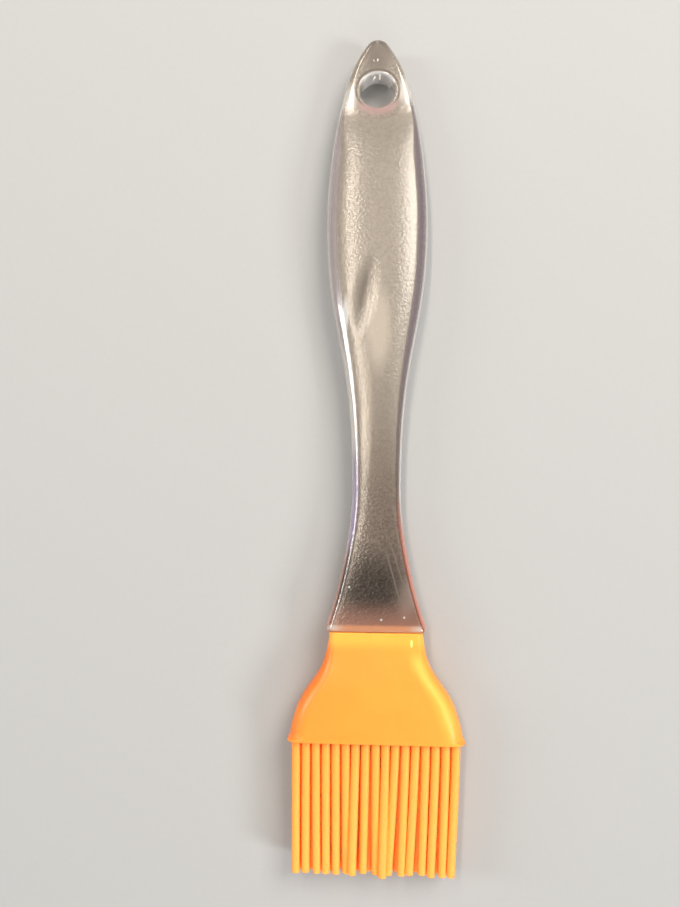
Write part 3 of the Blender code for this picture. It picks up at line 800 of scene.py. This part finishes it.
plasticLook = {
    "tints": ("#BDB3A7", "#ACA296"), "cloudScale": 1300.0,
    # painted light on the glassy left walls, painted shade on the right ones
    "leftWallPaintedLight": "#CEC2C4", "rightWallPaintedShade": "#8F8289", "wallBlend": 4.0 * mm,
    # painted shade down the neck and flare, mottled
    "paintedShadeTints": ("#867568", "#67574B"), "speckleScale": 2200.0,
    # painted shade on one half of the sink mark
    "sinkShadeTint": "#655C52",
    # centre, radii and tint of painted highlights and painted shade: a darker tip, pale gleams beside the
    # hole, a white streak by the sink mark, soft gleams down the grip and neck, and a paler spot on the flare
    "paintedLightAndShade": (
        ((0.0 * mm, 4.0 * mm), (5.0 * mm, 5.5 * mm), "#9A8E84"),
        ((-6.2 * mm, 14.5 * mm), (2.4 * mm, 4.6 * mm), "#F6F1E9"),
        ((6.2 * mm, 13.0 * mm), (2.4 * mm, 4.4 * mm), "#F6F1E9"),
        ((-6.5 * mm, 63.0 * mm), (0.9 * mm, 5.0 * mm), "#FFFFFF"),
        ((0.4 * mm, 66.0 * mm), (3.4 * mm, 12.0 * mm), "#DCD1C2"),
        ((-2.0 * mm, 84.0 * mm), (1.5 * mm, 17.0 * mm), "#C2B6A6"),
        ((6.0 * mm, 121.5 * mm), (2.8 * mm, 5.5 * mm), "#A89488"),
    ),
    # the hole: painted shade in a dark ring on its rim, between the first two discs,
    # then a painted reflection on its near side and a painted highlight on the far side
    # of its wall; radius and softness of each disc
    "boreDiscs": ((4.7 * mm, 0.08), (5.1 * mm, 0.08), (6.3 * mm, 0.25), (4.4 * mm, 0.05)),
    "boreRingShade": "#857A73",
    # the two painted sides: none and full, towards the tip from the middle of the hole, and tint
    "boreSideLights": ((-2.0 * mm, -3.8 * mm, "#E0BDB8"), (1.0 * mm, 2.6 * mm, "#FFFFFF")),
    # painted shade: a dark mottled patch on the flare, where the coat is thinned
    "darkAt": (-1.1 * mm, 119.4 * mm), "darkRadii": (9.3 * mm, 10.2 * mm), "darkShadeTint": "#170A03",
    "mottleScale": 1500.0, "darkLeast": 0.78, "darkCoat": 0.1,
    "glowTint": "#AA7764",
    # faint flow lines on the flare: start, end and half width
    "flowLines": (
        ((2.6 * mm, 109.5 * mm), (5.8 * mm, 119.8 * mm), 0.2 * mm),
        ((1.6 * mm, 110.6 * mm), (4.9 * mm, 122.5 * mm), 0.22 * mm),
    ),
    "flowTint": "#918276",
    # painted orange light in the end's rounded rim, palest in its corners
    "rimTint": "#FFB482", "rimCornerTint": "#FFF1E2",
    # painted light and shade marks of the handle, each laid over those before it
    "markTints": (("seat", "#E0762A"), ("outline", "#FFFBF8"), ("gleam", "#FFFBF8"), ("lavender", "#C9BCE6"),
                  ("wallGlow", "#FFA48C"), ("redShadeLine", "#742E24")),
    # specks in the plastic: centre, radius, softness and tint
    "specks": (
        ((0.97 * mm, 120.6 * mm), 0.28 * mm, 0.5, "#120E0C"),
        ((-5.38 * mm, 119.1 * mm), 0.3 * mm, 0.6, "#FFFFFF"),
        ((1.03 * mm, 125.4 * mm), 0.3 * mm, 0.6, "#FFFFFF"),
        ((5.57 * mm, 124.9 * mm), 0.3 * mm, 0.6, "#FFFFFF"),
        ((-4.1 * mm, 39.5 * mm), 0.3 * mm, 0.6, "#FFFFFF"),
    ),
    "gateMark": (-0.36 * mm, 6.3 * mm), "gateRadius": 0.7 * mm,
    "roughness": (0.06, 0.34),   # polished, satin
    "grainScale": 1700.0, "grainDepth": 0.06 * mm,
    "gleamTint": "#FFF4EA",      # warms the soft gleam on the satin faces
}


def clearStyrene(look):
    # Clear polystyrene, injection moulded. The faces come from a spark eroded
    # mould, so they glow softly; the polished pad and walls stay glassy. Much of
    # the colour is painted light and shade: darker down the neck and flare, a dark
    # mottled patch on the flare, the rubber's orange light at the end, pale and
    # dark lines on the edges and walls, highlights round the hole and on the pad.
    # The real erosion is some 0.05 mm across; at 0.6 mm the grain is coarse enough to show.
    material, tree, shader, where = newMaterial("clearPolystyreneMoulded", {
        "IOR": 1.57, "Transmission Weight": 0.6, "Specular IOR Level": 0.6,
        "Specular Tint": linearColour(look["gleamTint"]), "Coat Roughness": 0.18})
    parts = addNode(tree, "ShaderNodeSeparateXYZ", {0: where}).outputs
    satin = readMark(tree, "satin")

    # faces; walls in painted light on the left and painted shade on the right; painted shade down the neck
    # and flare; painted highlight and shade patches
    cloud = noise(tree, where, look["cloudScale"], 3.0)
    cloudShare = addNode(tree, "ShaderNodeMapRange", {0: cloud.outputs["Fac"], 1: 0.35, 2: 0.65})
    tint = blendColour(tree, cloudShare, *look["tints"])
    toRight = addNode(tree, "ShaderNodeMapRange",
                      {0: parts["X"], 1: -look["wallBlend"], 2: look["wallBlend"]})
    wallLightAndShade = blendColour(tree, toRight, look["leftWallPaintedLight"], look["rightWallPaintedShade"])
    tint = blendColour(tree, readMark(tree, "wall"), tint, wallLightAndShade)
    speckle = noise(tree, where, look["speckleScale"], 1.0)
    speckleShare = addNode(tree, "ShaderNodeMapRange", {0: speckle.outputs["Fac"], 1: 0.38, 2: 0.62})
    paintedShadeTint = blendColour(tree, speckleShare, *look["paintedShadeTints"])
    tint = blendColour(tree, readMark(tree, "paintedShade"), tint, paintedShadeTint)
    tint = blendColour(tree, readMark(tree, "sinkShade"), tint, look["sinkShadeTint"])
    for centre, radii, paintedPatchTint in look["paintedLightAndShade"]:
        tint = blendColour(tree, spotShare(tree, where, centre, radii, 0.7), tint, paintedPatchTint)

    # the hole: painted shade on its rim, painted light on its wall
    hole = (0.0, handleShape["holeAt"])
    holeY = tipY - handleShape["holeAt"]
    inner, outer, *sides = (spotShare(tree, where, hole, (radius, radius), soft)
                            for radius, soft in look["boreDiscs"])
    ring = maths(tree, "SUBTRACT", outer, inner)
    tint = blendColour(tree, ring, tint, look["boreRingShade"])
    for disc, (start, full, sideLightTint) in zip(sides, look["boreSideLights"]):
        side = addNode(tree, "ShaderNodeMapRange", {0: parts["Y"], 1: holeY + start, 2: holeY + full})
        tint = blendColour(tree, maths(tree, "MULTIPLY", disc, side), tint, sideLightTint)

    # the flare: its painted dark patch, the rubber's painted glow, flow lines, then painted marks and specks
    spot = spotShare(tree, where, look["darkAt"], look["darkRadii"], 0.75)
    mottle = noise(tree, where, look["mottleScale"], 2.0)
    mottled = addNode(tree, "ShaderNodeMapRange",
                      {0: mottle.outputs["Fac"], 1: 0.42, 2: 0.66, 3: 1.0, 4: look["darkLeast"]})
    dark = maths(tree, "MULTIPLY", spot, mottled)
    tint = blendColour(tree, dark, tint, look["darkShadeTint"])
    tint = blendColour(tree, readMark(tree, "glow"), tint, look["glowTint"])
    for start, end, halfWidth in look["flowLines"]:
        tint = blendColour(tree, lineShare(tree, where, start, end, halfWidth), tint, look["flowTint"])
    rimTint = blendColour(tree, readMark(tree, "corner"), look["rimTint"], look["rimCornerTint"])
    tint = blendColour(tree, readMark(tree, "rim"), tint, rimTint)
    for mark, markTint in look["markTints"]:
        tint = blendColour(tree, readMark(tree, mark), tint, markTint)
    for centre, radius, soft, speckTint in look["specks"]:
        tint = blendColour(tree, spotShare(tree, where, centre, (radius, radius), soft), tint, speckTint)
    tree.links.new(tint, shader.inputs["Base Color"])
    coat = addNode(tree, "ShaderNodeMapRange", {0: dark, 3: 1.0, 4: look["darkCoat"]})
    tree.links.new(coat.outputs[0], shader.inputs["Coat Weight"])

    # gloss, grain and the dimple of the gate
    rough = addNode(tree, "ShaderNodeMapRange", {0: satin, 3: look["roughness"][0], 4: look["roughness"][1]})
    tree.links.new(rough.outputs[0], shader.inputs["Roughness"])
    grain = noise(tree, where, look["grainScale"], 2.0)
    height = maths(tree, "MULTIPLY", grain.outputs["Fac"], satin)
    gate = spotShare(tree, where, look["gateMark"], (look["gateRadius"], look["gateRadius"]), 0.7)
    pressed = maths(tree, "MULTIPLY_ADD", gate, -1.0, height)
    bump = addNode(tree, "ShaderNodeBump", {"Height": pressed, "Distance": look["grainDepth"]})
    tree.links.new(bump.outputs[0], shader.inputs["Normal"])
    tree.links.new(bump.outputs[0], shader.inputs["Coat Normal"])
    return material


siliconeLook = {
    # painted light: the right side paler than the shaded left
    "shadedLeftTints": ("#F7953A", "#F28B32"), "litRightTints": ("#F89F40", "#F49538"), "cloudScale": 160.0,
    "sides": (-15.0 * mm, 16.0 * mm),
    # painted highlights and shade of the head, each laid over those before it
    "markTints": (("shoulderHighlight", "#FFBC54"), ("shoulderShade", "#F07A26"), ("seatLight", "#FFAA44")),
    # painted light: the bristles paler towards their tips
    "bristleLitTint": "#FFA84A", "bristleRise": 0.35, "bristleRough": 0.26,
    # a small pale mark near the right of the head's top
    "paleMarkAt": (7.0 * mm, 130.0 * mm), "paleMarkRadii": (0.28 * mm, 0.9 * mm), "paleMarkTint": "#FFE488",
    "roughness": (0.29, 0.35), "skinScale": 2600.0, "skinDepth": 0.008 * mm,
    "glowReach": 1.8 * mm,       # how far light travels inside
}


def orangeSilicone(look):
    # Silicone rubber, compression moulded and pigmented orange. Light sinks a
    # millimetre or two into it, which warms every shaded gap. Light and shade are
    # also painted into its colour: the right side paler than the left, highlights
    # at the top and along the right shoulder, shade along the left, and bristles
    # paler towards their tips. The skin copies the mould's fine tool marks, drawn
    # at 0.4 mm so that they show.
    material, tree, shader, where = newMaterial("siliconeRubberMoulded", {
        "IOR": 1.41, "Subsurface Weight": 0.9, "Subsurface Radius": (1.0, 0.30, 0.06),
        "Subsurface Scale": look["glowReach"]})
    shader.subsurface_method = "BURLEY"
    cloud = noise(tree, where, look["cloudScale"], 3.0)
    parts = addNode(tree, "ShaderNodeSeparateXYZ", {0: where}).outputs
    # painted light: paler to the right, with the left in shade
    toRight = addNode(tree, "ShaderNodeMapRange", {0: parts["X"], 1: look["sides"][0], 2: look["sides"][1]})
    left = blendColour(tree, cloud.outputs["Fac"], *look["shadedLeftTints"])
    right = blendColour(tree, cloud.outputs["Fac"], *look["litRightTints"])
    tint = blendColour(tree, toRight, left, right)
    for mark, markTint in look["markTints"]:
        tint = blendColour(tree, readMark(tree, mark), tint, markTint)
    paler = maths(tree, "POWER", readMark(tree, "alongBristle"), look["bristleRise"])
    tint = blendColour(tree, paler, tint, look["bristleLitTint"])
    paleMark = spotShare(tree, where, look["paleMarkAt"], look["paleMarkRadii"], 0.4)
    tint = blendColour(tree, paleMark, tint, look["paleMarkTint"])
    tree.links.new(tint, shader.inputs["Base Color"])
    rough = addNode(tree, "ShaderNodeMapRange",
                    {0: cloud.outputs["Fac"], 3: look["roughness"][0], 4: look["roughness"][1]})
    rough = maths(tree, "MULTIPLY_ADD", paler, look["bristleRough"], rough)
    tree.links.new(rough.outputs[0], shader.inputs["Roughness"])
    skin = noise(tree, where, look["skinScale"], 2.0)
    bump = addNode(tree, "ShaderNodeBump", {"Height": skin.outputs["Fac"], "Distance": look["skinDepth"]})
    tree.links.new(bump.outputs[0], shader.inputs["Normal"])
    return material


floorLook = {"tints": ("#ACADAE", "#A9AAAB"), "toothScale": 900.0, "halfWidth": 0.9}


def mattBoard(look):
    # Matt painted board: pale, even, with the faintest tooth
    material, tree, shader, where = newMaterial(
        "mattPaintedBoard", {"Roughness": 0.9, "Specular IOR Level": 0.2})
    tooth = noise(tree, where, look["toothScale"], 2.0)
    tree.links.new(blendColour(tree, tooth.outputs["Fac"], *look["tints"]), shader.inputs["Base Color"])
    return material


plastic = clearStyrene(plasticLook)
rubber = orangeSilicone(siliconeLook)
handle.data.materials.clear()
handle.data.materials.append(plastic)
head.data.materials.clear()
head.data.materials.append(rubber)
bristles = plantBristles(bristleShape, tipLeans, tipLifts, rubber)
print("bristles planted,", len(bristles.data.polygons), "faces")

# Studio
studioSetup = {
    "world": ("#F4F4F4", 0.34),
    "lamps": {
        # name: place, turn about x and y in degrees, size across and along, watts, colour
        "tube left": ((-0.168, 0.34, 0.66), (0, -14), (0.06, 0.80), 2.9, "#FFF3E2"),
        "panel right": ((0.355, 0.42, 0.58), (0, 32), (0.38, 0.50), 5.9, "#FFF8EC"),
        "window left": ((-0.92, 0.11, 0.48), (0, -62), (0.50, 0.14), 3.6, "#FFFFFF"),
        "window right": ((0.80, -0.38, 0.55), (0, 55), (0.26, 0.26), 5.5, "#FFFFFF"),
        "panel front": ((0.10, -0.90, 0.50), (61, 0), (0.60, 0.30), 2.0, "#FFFFFF"),
    },
}


def buildStudio(setup, board):
    world = bpy.data.worlds.new("studio")
    bpy.context.scene.world = world
    world.use_nodes = True
    backdrop = world.node_tree.nodes["Background"]
    backdrop.inputs["Color"].default_value = linearColour(setup["world"][0])
    backdrop.inputs["Strength"].default_value = setup["world"][1]
    for name, (spot, turn, size, watts, tone) in setup["lamps"].items():
        light = bpy.data.lights.new(name, "AREA")
        light.shape = "RECTANGLE"
        light.size, light.size_y = size
        light.energy = watts
        light.color = linearColour(tone)[:3]
        lamp = bpy.data.objects.new(name, light)
        lamp.location = spot
        lamp.rotation_euler = (math.radians(turn[0]), math.radians(turn[1]), 0)
        bpy.context.scene.collection.objects.link(lamp)
    mesh = bpy.data.meshes.new("floor")
    half = board["halfWidth"]
    corners = [(-half, -half, 0), (half, -half, 0), (half, half, 0), (-half, half, 0)]
    mesh.from_pydata(corners, [], [(0, 1, 2, 3)])
    floor = place("floor", mesh)
    floor.location.z = cadBox[0][2] - 0.02 * mm
    mesh.materials.append(mattBoard(board))


buildStudio(studioSetup, floorLook)
bpy.context.scene.view_settings.view_transform = "Standard"
print("studio lit")

# Hand over
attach(handle, "handle")
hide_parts("handle")
for rubberPiece in (head, bristles):
    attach(rubberPiece, "head")
    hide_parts("brush_head")
